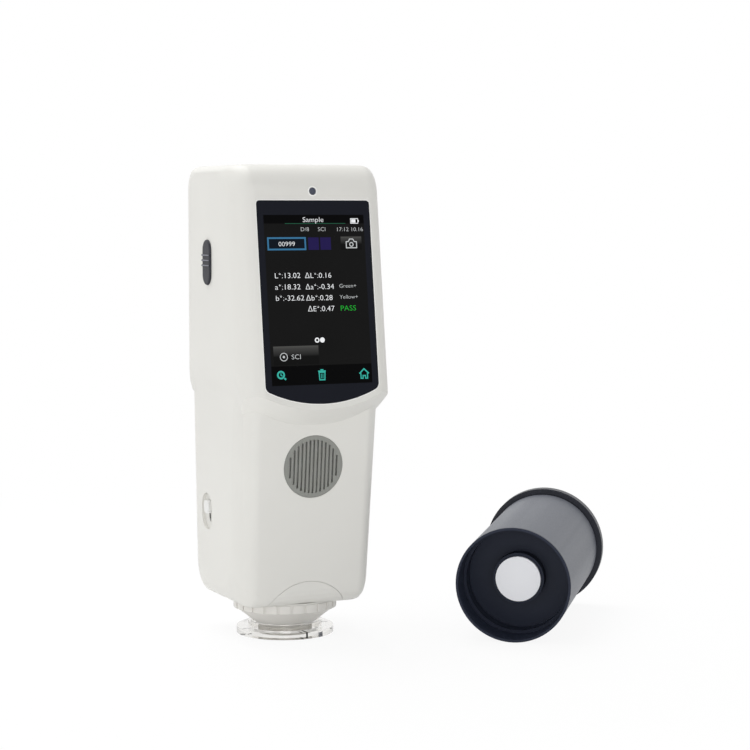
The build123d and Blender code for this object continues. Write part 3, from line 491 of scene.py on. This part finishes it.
# Display: a frame on the head's leaning front face, u to the right and v up it, in millimetres
HEAD_TILT = radians(7.42)
HEAD_ORIGIN = Vector((0, -39.6, 154.7))
HEAD_OUT = Vector((0, -cos(HEAD_TILT), sin(HEAD_TILT)))
HEAD_UP = Vector((0, sin(HEAD_TILT), cos(HEAD_TILT)))
GLASS_FACE = -0.1
LAYER = 0.012
SCREEN_ROUGH = 0.12
SCREEN_SPECULAR = 0.04
PIXEL_SCALE = 5200.0
# A key's shades from its foot to its head
KEY_SHADES = ((0.0, "040404"), (0.44, "060606"), (0.5, "1c1c1c"), (0.85, "3c3c3b"), (1.0, "4c4c4a"))
# Lettering: height of a capital in the font, stroke offset, steps to a curve, and the asterisks'
# lowest height and scale, both in parts of the capitals' own
CAPITAL = 0.72
LETTER_OFFSET = -0.028
LETTER_STEPS = 3
STAR_ABOVE = 0.42
STAR_SCALE = 0.68
MITRE_LEAST = 0.4


def on_head(u, v, out):
    """Point over the head's front face, so many millimetres out, in metres."""
    return (HEAD_ORIGIN + Vector((u, 0, 0)) + HEAD_UP * v + HEAD_OUT * out) * MM


def on_glass(u, v, level):
    """Point over the display glass, so many layers up, in metres."""
    return on_head(u, v, GLASS_FACE + LAYER * level)


def lit_material(nodes, colour, unlit, glow):
    """A part of the display whose colour is its own light, under the glass's gloss."""
    nodes.feed("Emission Color", colour)
    nodes.shader.inputs["Base Color"].default_value = (*unlit, 1)
    nodes.shader.inputs["Roughness"].default_value = SCREEN_ROUGH
    nodes.set(glow=glow, specular=SCREEN_SPECULAR)
    return nodes.material


def light_up(name, code, glow):
    """A light of one colour, slightly uneven from pixel to pixel."""
    nodes = Nodes(name)
    tone = srgb(code)
    pixels = nodes.spread(nodes.noise(PIXEL_SCALE, 1.0), 0.0, 1.0)
    colour = nodes.blend(pixels, tuple(c * 0.9 for c in tone), tone)
    return lit_material(nodes, colour, (0.004, 0.004, 0.005), glow)


def shaded_key(name, low_z, high_z):
    """A glossy on-screen key: grey at its top, near black under its middle."""
    nodes = Nodes(name)
    ramp = nodes.add("ShaderNodeValToRGB")
    nodes.link(nodes.spread(nodes.axis("Z"), 0.0, 1.0, low_z, high_z), ramp.inputs["Fac"])
    shades = ramp.color_ramp.elements
    while len(shades) < len(KEY_SHADES):
        shades.new(0.5)
    for shade, (at, code) in zip(shades, KEY_SHADES):
        shade.position = at
        shade.color = (*srgb(code), 1)
    return lit_material(nodes, ramp.outputs["Color"], (0.004, 0.004, 0.004), 1.0)


def rectangle(u0, v0, u1, v1):
    return [(u0, v0), (u1, v0), (u1, v1), (u0, v1)]


def circle(u, v, radius, count=32):
    turns = [2 * pi * i / count for i in range(count)]
    return [(u + radius * cos(turn), v + radius * sin(turn)) for turn in turns]


def stroke(points, width, closed):
    """Four-cornered shapes along a line of points, mitred where they meet."""
    left, right_side = [], []
    count = len(points)
    for i, point in enumerate(points):
        here = Vector(point)
        if closed or 0 < i < count - 1:
            before, after = Vector(points[i - 1]), Vector(points[(i + 1) % count])
        elif i == 0:
            after = Vector(points[1])
            before = here * 2 - after
        else:
            before = Vector(points[i - 1])
            after = here * 2 - before
        one, two = (here - before).normalized(), (after - here).normalized()
        side = Vector((-one.y - two.y, one.x + two.x)).normalized()
        reach = width / 2 / max(side.dot(Vector((-one.y, one.x))), MITRE_LEAST)
        left.append(tuple(here + side * reach))
        right_side.append(tuple(here - side * reach))
    pairs = [(i, (i + 1) % count) for i in range(count if closed else count - 1)]
    return [[right_side[i], right_side[j], left[j], left[i]] for i, j in pairs]


def add_graphic(name, shapes, level, material, lines=()):
    """Flat shapes on the glass: outlines, then lines as (points, width, whether closed)."""
    outlines = shapes + [shape for line in lines for shape in stroke(*line)]
    verts, faces = [], []
    for outline in outlines:
        start = len(verts)
        verts.extend(on_glass(u, v, level) for u, v in outline)
        faces.append(list(range(start, len(verts))))
    return add_piece(name, verts, faces, "instrument", "panel", material)


def shrink_stars(flat, size):
    """Places of a text's corners, with its asterisks, the only high marks, drawn smaller."""
    group = list(range(len(flat.vertices)))

    def root(i):
        while group[i] != i:
            i = group[i]
        return i

    for face in flat.polygons:
        for i in face.vertices[1:]:
            group[root(i)] = root(face.vertices[0])
    marks = {}
    for i in range(len(group)):
        marks.setdefault(root(i), []).append(i)
    spots = [(p.co.x, p.co.y) for p in flat.vertices]
    for members in marks.values():
        low = min(spots[i][1] for i in members)
        if low > STAR_ABOVE * size:
            high = max(spots[i][1] for i in members)
            middle = sum(spots[i][0] for i in members) / len(members)
            for i in members:
                x, y = spots[i]
                spots[i] = (middle + (x - middle) * STAR_SCALE, high + (y - high) * STAR_SCALE)
    return spots


def add_lettering(name, rows, level, material):
    """Readout text on the glass: text, u, v, height of a capital in mm, widening, alignment."""
    verts, faces = [], []
    for text, u, v, size, widen, align in rows:
        curve = bpy.data.curves.new(name, "FONT")
        curve.body = text
        curve.align_x = align
        curve.size = size / CAPITAL
        curve.resolution_u = LETTER_STEPS
        curve.offset = LETTER_OFFSET
        probe = bpy.data.objects.new(name, curve)
        flat = bpy.data.meshes.new_from_object(probe)
        start = len(verts)
        verts.extend(on_glass(u + x * widen, v + y, level) for x, y in shrink_stars(flat, size))
        faces.extend([start + i for i in p.vertices] for p in flat.polygons)
        bpy.data.objects.remove(probe)
        bpy.data.curves.remove(curve)
        bpy.data.meshes.remove(flat)
    return add_piece(name, verts, faces, "instrument", "panel", material)


field = finish("screen_field", "171717", rough=SCREEN_ROUGH, mottle=0.15, patch=40.0,
               grain=900.0, depth=0.0004, specular=0.04)
black = finish("screen_bar", "060607", rough=SCREEN_ROUGH, mottle=0.15, patch=40.0,
               grain=900.0, depth=0.0004, specular=0.03)
white_light = light_up("white_light", "f4f6f8", 1.0)
soft_light = light_up("soft_light", "d4d7d8", 0.9)
teal_light = light_up("teal_light", "3fc7b6", 0.8)
green_light = light_up("green_light", "23c23a", 0.85)
line_light = light_up("line_light", "24684c", 0.8)
blue_light = light_up("blue_light", "3f80ab", 0.8)
navy_light = light_up("navy_light", "03101c", 0.8)
purple_light = light_up("purple_light", "21174f", 0.9)

# The screen's layout, in the display's millimetres, and the layers of its graphics
BACK, BOX, INK = 1, 2, 3
TITLE_LOW = 33.6
NAV_HIGH = -28.9
SCREEN_WIDE = 24.0
SCREEN_TALL = 37.4
TITLE_LINE = (-14.0, TITLE_LOW - 0.15, 15.0, TITLE_LOW + 0.1)
SAMPLE_BOX = (-22.4, 22.2, -4.8, 27.2)
SQUARES_LOW = 21.9
SQUARES_HIGH = 27.4
CAMERA_KEY = (12.3, 21.8, 22.4, 27.7)
MODE_KEY = (-22.6, -28.4, -1.2, -20.2)
MODE_PLACE = (-17.8, -24.9)
DOTS_UP = -17.9

add_graphic("screen_area", [rectangle(-SCREEN_WIDE, NAV_HIGH, SCREEN_WIDE, TITLE_LOW)],
            BACK, field)
add_graphic("screen_bars", [
    rectangle(-SCREEN_WIDE, TITLE_LOW, SCREEN_WIDE, SCREEN_TALL),
    rectangle(-SCREEN_WIDE, -SCREEN_TALL, SCREEN_WIDE, NAV_HIGH),
], BACK, black)
add_graphic("title_line", [rectangle(*TITLE_LINE)], BOX, line_light)
add_graphic("sample_box_fill", [rectangle(*SAMPLE_BOX)], BOX, navy_light)
add_graphic("sample_box_edge", [], INK, blue_light, [(rectangle(*SAMPLE_BOX), 0.75, True)])
add_graphic("colour_squares", [
    rectangle(-3.4, SQUARES_LOW, 1.7, SQUARES_HIGH),
    rectangle(2.4, SQUARES_LOW, 7.5, SQUARES_HIGH),
], BOX, purple_light)

for name, key in (("camera_key", CAMERA_KEY), ("mode_key", MODE_KEY)):
    low, high = on_glass(key[0], key[1], BOX), on_glass(key[0], key[3], BOX)
    add_graphic(name, [rectangle(*key)], BOX, shaded_key(f"{name}_shade", low.z, high.z))

CAMERA_ICON = [
    ([(14.9, 22.7), (19.9, 22.7), (19.9, 25.4), (18.8, 25.5),
      (18.2, 26.6), (16.6, 26.6), (16.0, 25.5), (14.9, 25.4)], 0.42, True),
    (circle(17.4, 24.2, 0.85, 20), 0.42, True),
]
MODE_RING = (circle(*MODE_PLACE, 1.7, 24), 0.32, True)
CLOCK_ICON = [
    (circle(-19.6, -32.7, 1.5, 24), 0.75, True),
    ([(-19.6, -31.9), (-19.6, -32.8), (-18.9, -33.2)], 0.45, False),
    ([(-18.1, -34.1), (-17.3, -34.8)], 0.8, False),
]
BIN_ICON = [
    ([(-1.9, -31.6), (1.7, -31.6)], 0.6, False),
    ([(-0.8, -31.0), (0.6, -31.0)], 0.5, False),
    ([(-1.5, -32.1), (-1.3, -35.4), (1.1, -35.4), (1.3, -32.1)], 0.5, True),
    ([(-0.5, -32.7), (-0.45, -34.8)], 0.3, False),
    ([(0.3, -32.7), (0.25, -34.8)], 0.3, False),
]
HOME_ICON = [
    ([(17.9, -33.3), (20.2, -31.2), (22.5, -33.3)], 0.6, False),
    ([(18.6, -33.1), (18.6, -35.4), (19.6, -35.4), (19.6, -34.2),
      (20.8, -34.2), (20.8, -35.4), (21.8, -35.4), (21.8, -33.1)], 0.5, False),
]
BATTERY_CHARGE = (17.9, 33.9, 20.0, 35.4)
BATTERY_ICON = [
    (rectangle(17.6, 33.6, 21.1, 35.7), 0.28, True),
    ([(21.4, 34.2), (21.4, 35.1)], 0.4, False),
]
add_graphic("soft_icons", [circle(*MODE_PLACE, 0.55, 16)], INK, soft_light,
            CAMERA_ICON + [MODE_RING])
add_graphic("page_dots", [circle(0.9, DOTS_UP, 1.15, 24)], INK, white_light,
            [(circle(-1.6, DOTS_UP, 0.85, 24), 0.55, True)])
add_graphic("teal_icons", [], INK, teal_light, CLOCK_ICON + BIN_ICON + HOME_ICON)
add_graphic("battery_icon", [rectangle(*BATTERY_CHARGE)], INK, white_light, BATTERY_ICON)
add_lettering("white_readout", [
    ("Sample", -0.5, 34.2, 2.3, 1.12, "CENTER"),
    ("00999", -13.6, 23.6, 2.1, 1.1, "CENTER"),
    ("L*:13.02", -20.3, 9.6, 2.4, 1.12, "LEFT"),
    ("a*:18.32", -20.3, 4.6, 2.4, 1.12, "LEFT"),
    ("b*:-32.62", -20.3, -0.3, 2.4, 1.12, "LEFT"),
    ("ΔL*:0.16", -5.9, 9.5, 2.4, 1.1, "LEFT"),
    ("Δa*:-0.34", -5.9, 4.5, 2.4, 1.1, "LEFT"),
    ("Δb*:0.28", -5.9, -0.4, 2.4, 1.1, "LEFT"),
    ("ΔE*:0.47", -5.3, -5.2, 2.4, 1.1, "LEFT"),
], INK, white_light)
add_lettering("soft_readout", [
    ("D/8", -6.8, 30.2, 1.8, 1.1, "LEFT"),
    ("SCI", 1.5, 30.2, 1.8, 1.1, "LEFT"),
    ("17:12 10.16", 10.3, 30.1, 1.8, 1.12, "LEFT"),
    ("Green+", 10.3, 5.0, 1.75, 1.1, "LEFT"),
    ("Yellow+", 10.3, 0.1, 1.75, 1.1, "LEFT"),
    ("SCI", -14.3, -26.0, 2.2, 1.1, "LEFT"),
], INK, soft_light)
add_lettering("pass_word", [("PASS", 10.3, -5.2, 2.4, 1.12, "LEFT")], INK, green_light)

# Raised beads round the display opening and the indicator, on the head's face in millimetres,
# coloured whiter than the housing as a painted highlight on the openings' edges
GLASS_HALF = 27.0
GLASS_TOP = 43.7
GLASS_SIDE_LOW = 39.5
GLASS_MID_LOW = 45.9
TOP_CORNER = 1.5
CHIN_CORNER = 3.0
CHIN_POINTS = 9
CHIN_STEP = 0.2
INDICATOR_UP = 47.9
INDICATOR_RADIUS = 1.7
# Sections of the beads: how far outside the outline and how high over the face
DISPLAY_BEAD = ((0.13, -0.3), (0.16, 0.05), (0.25, 0.1), (0.4, 0.1), (0.55, 0.0))
INDICATOR_BEAD = ((0.0, -0.3), (0.04, 0.08), (0.15, 0.16), (0.35, 0.16), (0.6, 0.0))
# Painted highlight: the beads' near white stands for the light that the openings' edges catch
bead_painted_highlight = finish("bead_painted_highlight", "f6f6f3", rough=0.3, mottle=0.02, patch=60.0,
                    grain=2600.0, depth=0.004, specular=0.5)


def rounded(points, radii, steps=5):
    """An outline whose corners that have a radius are rounded."""
    out = []
    for i, (point, radius) in enumerate(zip(points, radii)):
        here = Vector(point)
        if not radius:
            out.append(here)
            continue
        before = (Vector(points[i - 1]) - here).normalized()
        after = (Vector(points[(i + 1) % len(points)]) - here).normalized()
        half = before.angle(after) / 2
        centre = here + (before + after).normalized() * radius / sin(half)
        out_way = (here - centre).normalized()
        side = Vector((-out_way.y, out_way.x))
        if side.dot(before) < 0:
            side = -side
        for j in range(steps + 1):
            turn = (pi / 2 - half) * (1 - 2 * j / steps)
            out.append(centre + (out_way * cos(turn) + side * sin(turn)) * radius)
    return out


def glass_edge(gap):
    """Outline of the display glass, grown by a gap: straight sides and top, an arc for a chin."""
    sag = GLASS_MID_LOW - GLASS_SIDE_LOW
    arc = (GLASS_HALF**2 + sag**2) / (2 * sag)
    centre = arc - GLASS_MID_LOW
    side, top = GLASS_HALF + gap, GLASS_TOP + gap
    arc += gap
    across = [side * (1 - CHIN_STEP * i) for i in range(CHIN_POINTS + 1)]
    chin = [(u, centre - sqrt(arc**2 - u**2)) for u in across]
    points = [(-side, chin[0][1]), (-side, top), (side, top)] + chin
    corners = [radius + gap for radius in (CHIN_CORNER, TOP_CORNER, TOP_CORNER, CHIN_CORNER)]
    return rounded(points, corners + [0] * CHIN_POINTS)


def indicator_edge(gap):
    """Outline of the indicator's hole, grown by a gap."""
    return circle(0, INDICATOR_UP, INDICATOR_RADIUS + gap, 28)


def add_bead(name, outline, section):
    """A smooth bead on the head's face, round an opening that outline gives for each gap."""
    rings = [[on_head(u, v, high) for u, v in outline(gap)] for gap, high in section]
    verts = [v for ring in rings for v in ring]
    faces = band_faces(len(rings[0]), len(rings))
    item = add_piece(name, verts, faces, "instrument", "housing", bead_painted_highlight)
    for face in item.data.polygons:
        face.use_smooth = True


add_bead("display_bead", glass_edge, DISPLAY_BEAD)
add_bead("indicator_bead", indicator_edge, INDICATOR_BEAD)

# Black index mark over the clear plate's top and down its rim, in millimetres
PLATE_RADIUS = 22.3
PLATE_TOP = 3.0
COLLAR_RADIUS = 17.0
MARK_HALF = 0.45
MARK_TURN = radians(4.0)
MARK_LIFT = 0.02
MARK_START = 0.3
MARK_FOOT = 0.3
mark = [
    (COLLAR_RADIUS + MARK_START, PLATE_TOP + MARK_LIFT),
    (PLATE_RADIUS + MARK_LIFT, PLATE_TOP + MARK_LIFT),
    (PLATE_RADIUS + MARK_LIFT, MARK_FOOT),
]
mark_turn = Matrix.Rotation(MARK_TURN, 3, "Z")
mark_verts = [mark_turn @ Vector((hand * MARK_HALF, -sqrt(out**2 - MARK_HALF**2), z)) * MM
              for out, z in mark for hand in (-1, 1)]
add_piece("index_mark", mark_verts, [(0, 1, 3, 2), (2, 3, 5, 4)], "locating_plate", "black_line",
          finishes["black_line"])

# Lip of the arch insert that closes the shaded gap over the front of the aperture ring
LIP_RADII = (21.8, 23.55)
LIP_HEIGHTS = (15.82, 16.5)
LIP_START = -126.0
LIP_STEP = 4.0
LIP_COUNT = 19
lip_section = [(LIP_RADII[0], LIP_HEIGHTS[0]), (LIP_RADII[1], LIP_HEIGHTS[0]),
               (LIP_RADII[1], LIP_HEIGHTS[1]), (LIP_RADII[0], LIP_HEIGHTS[1])]
lip_turns = [radians(LIP_START + LIP_STEP * i) for i in range(LIP_COUNT)]
lip_rings = [[Vector((radius * cos(turn), radius * sin(turn), z)) * MM for radius, z in lip_section]
             for turn in lip_turns]
add_piece("arch_lip", *closed_stack(lip_rings), "instrument", "housing", finishes["housing"])

# Painted shade: a flat black sheet on the floor of the power switch's dish, on the leaning left
# side, for the shadowed slot that the switch's stem slides in
SWITCH_TURN = radians(0.9)
SWITCH_ORIGIN = Vector((-33.199, 13.0, 56.0))
SWITCH_OUT = Vector((-cos(SWITCH_TURN), 0, -sin(SWITCH_TURN)))
SWITCH_UP = Vector((-sin(SWITCH_TURN), 0, cos(SWITCH_TURN)))
SWITCH_FLOOR = -1.5
SLOT_LIFT = 0.05
SLOT_OUTLINE = [(0.5, 0.9), (1.3, 0.6), (-0.5, -4.9), (-1.3, -4.7)]
slot_out = SWITCH_OUT * (SWITCH_FLOOR + SLOT_LIFT)
slot_verts = [(SWITCH_ORIGIN + Vector((0, u, 0)) + SWITCH_UP * v + slot_out) * MM
              for u, v in SLOT_OUTLINE]
add_piece("switch_slot", slot_verts, [(0, 3, 2, 1)], "instrument", "black_line",
          finishes["black_line"])

# Floor, world and lamps, in metres and watts
FLOOR_REACH = 6.0
FLOOR_DROP = 0.00002
# The floor's share of plain white, at two distances from the instrument
WHITE_SHARES = (0.90, 1.0)
WHITE_REACHES = (0.10, 0.50)
WORLD_LIGHT = 0.57
MIDDLE = (0.0, 0.0, 0.10)
LOWER = (0.0, 0.0, 0.05)
# Place, aim, size and power
LAMPS = {
    "key_lamp": ((-1.75, -0.35, 0.35), LOWER, 1.0, 3.2),
    "fill_lamp": ((-0.7, -1.7, 0.1), LOWER, 1.2, 9.0),
    "top_lamp": ((-0.2, 0.6, 1.5), MIDDLE, 1.2, 16.0),
}


def in_view(tree):
    """One for rays from the camera, straight, mirrored or through the clear plate, else zero."""
    path = tree.nodes.new("ShaderNodeLightPath")
    value = path.outputs["Is Camera Ray"]
    for ray in ("Is Glossy Ray", "Is Transmission Ray"):
        either = tree.nodes.new("ShaderNodeMath")
        either.operation = "MAXIMUM"
        tree.links.new(value, either.inputs[0])
        tree.links.new(path.outputs[ray], either.inputs[1])
        value = either.outputs["Value"]
    return value


def mix_shaders(tree, factor, first, second):
    """A mix of two shaders."""
    node = tree.nodes.new("ShaderNodeMixShader")
    for source, target in zip((factor, first, second), node.inputs):
        tree.links.new(source, target)
    return node.outputs["Shader"]


def floor_finish():
    """A white floor that takes the object's shadow and turns to plain white further out."""
    nodes = Nodes("floor")
    tree = nodes.tree
    tree.nodes.remove(nodes.shader)
    paper = nodes.add("ShaderNodeBsdfDiffuse")
    tone = nodes.blend(nodes.spread(nodes.noise(8.0), 0.0, 1.0), srgb("f9f9f9"), srgb("fdfdfd"))
    nodes.link(tone, paper.inputs["Color"])
    white = nodes.add("ShaderNodeEmission")
    white.inputs["Color"].default_value = (1, 1, 1, 1)
    white.inputs["Strength"].default_value = 1.0
    reach = nodes.vector("LENGTH", nodes.place)["Value"]
    share = nodes.spread(reach, *WHITE_SHARES, *WHITE_REACHES)
    lifted = mix_shaders(tree, share, paper.outputs["BSDF"], white.outputs["Emission"])
    surface = mix_shaders(tree, in_view(tree), paper.outputs["BSDF"], lifted)
    nodes.link(surface, tree.nodes["Material Output"].inputs["Surface"])
    return nodes.material


floor_corners = rectangle(-FLOOR_REACH, -FLOOR_REACH, FLOOR_REACH, FLOOR_REACH)
floor_mesh = bpy.data.meshes.new("floor")
floor_mesh.from_pydata([(x, y, 0) for x, y in floor_corners], [], [(0, 1, 2, 3)])
floor = bpy.data.objects.new("floor", floor_mesh)
floor.location.z = -FLOOR_DROP
scene.collection.objects.link(floor)
floor_mesh.materials.append(floor_finish())

world = bpy.data.worlds.new("studio")
scene.world = world
world.use_nodes = True
tree = world.node_tree
lighting = tree.nodes["Background"]
shown = tree.nodes.new("ShaderNodeBackground")
for background, strength in ((lighting, WORLD_LIGHT), (shown, 1.0)):
    background.inputs["Color"].default_value = (1, 1, 1, 1)
    background.inputs["Strength"].default_value = strength
backdrop = mix_shaders(tree, in_view(tree), *(b.outputs["Background"] for b in (lighting, shown)))
tree.links.new(backdrop, tree.nodes["World Output"].inputs["Surface"])


def add_lamp(name, place, aim, size, watts):
    """A soft square lamp that points at a place."""
    lamp = bpy.data.lights.new(name, "AREA")
    lamp.size = size
    lamp.energy = watts
    item = bpy.data.objects.new(name, lamp)
    item.location = place
    item.rotation_euler = (Vector(aim) - Vector(place)).to_track_quat("-Z", "Y").to_euler()
    scene.collection.objects.link(item)


for name, lamp in LAMPS.items():
    add_lamp(name, *lamp)
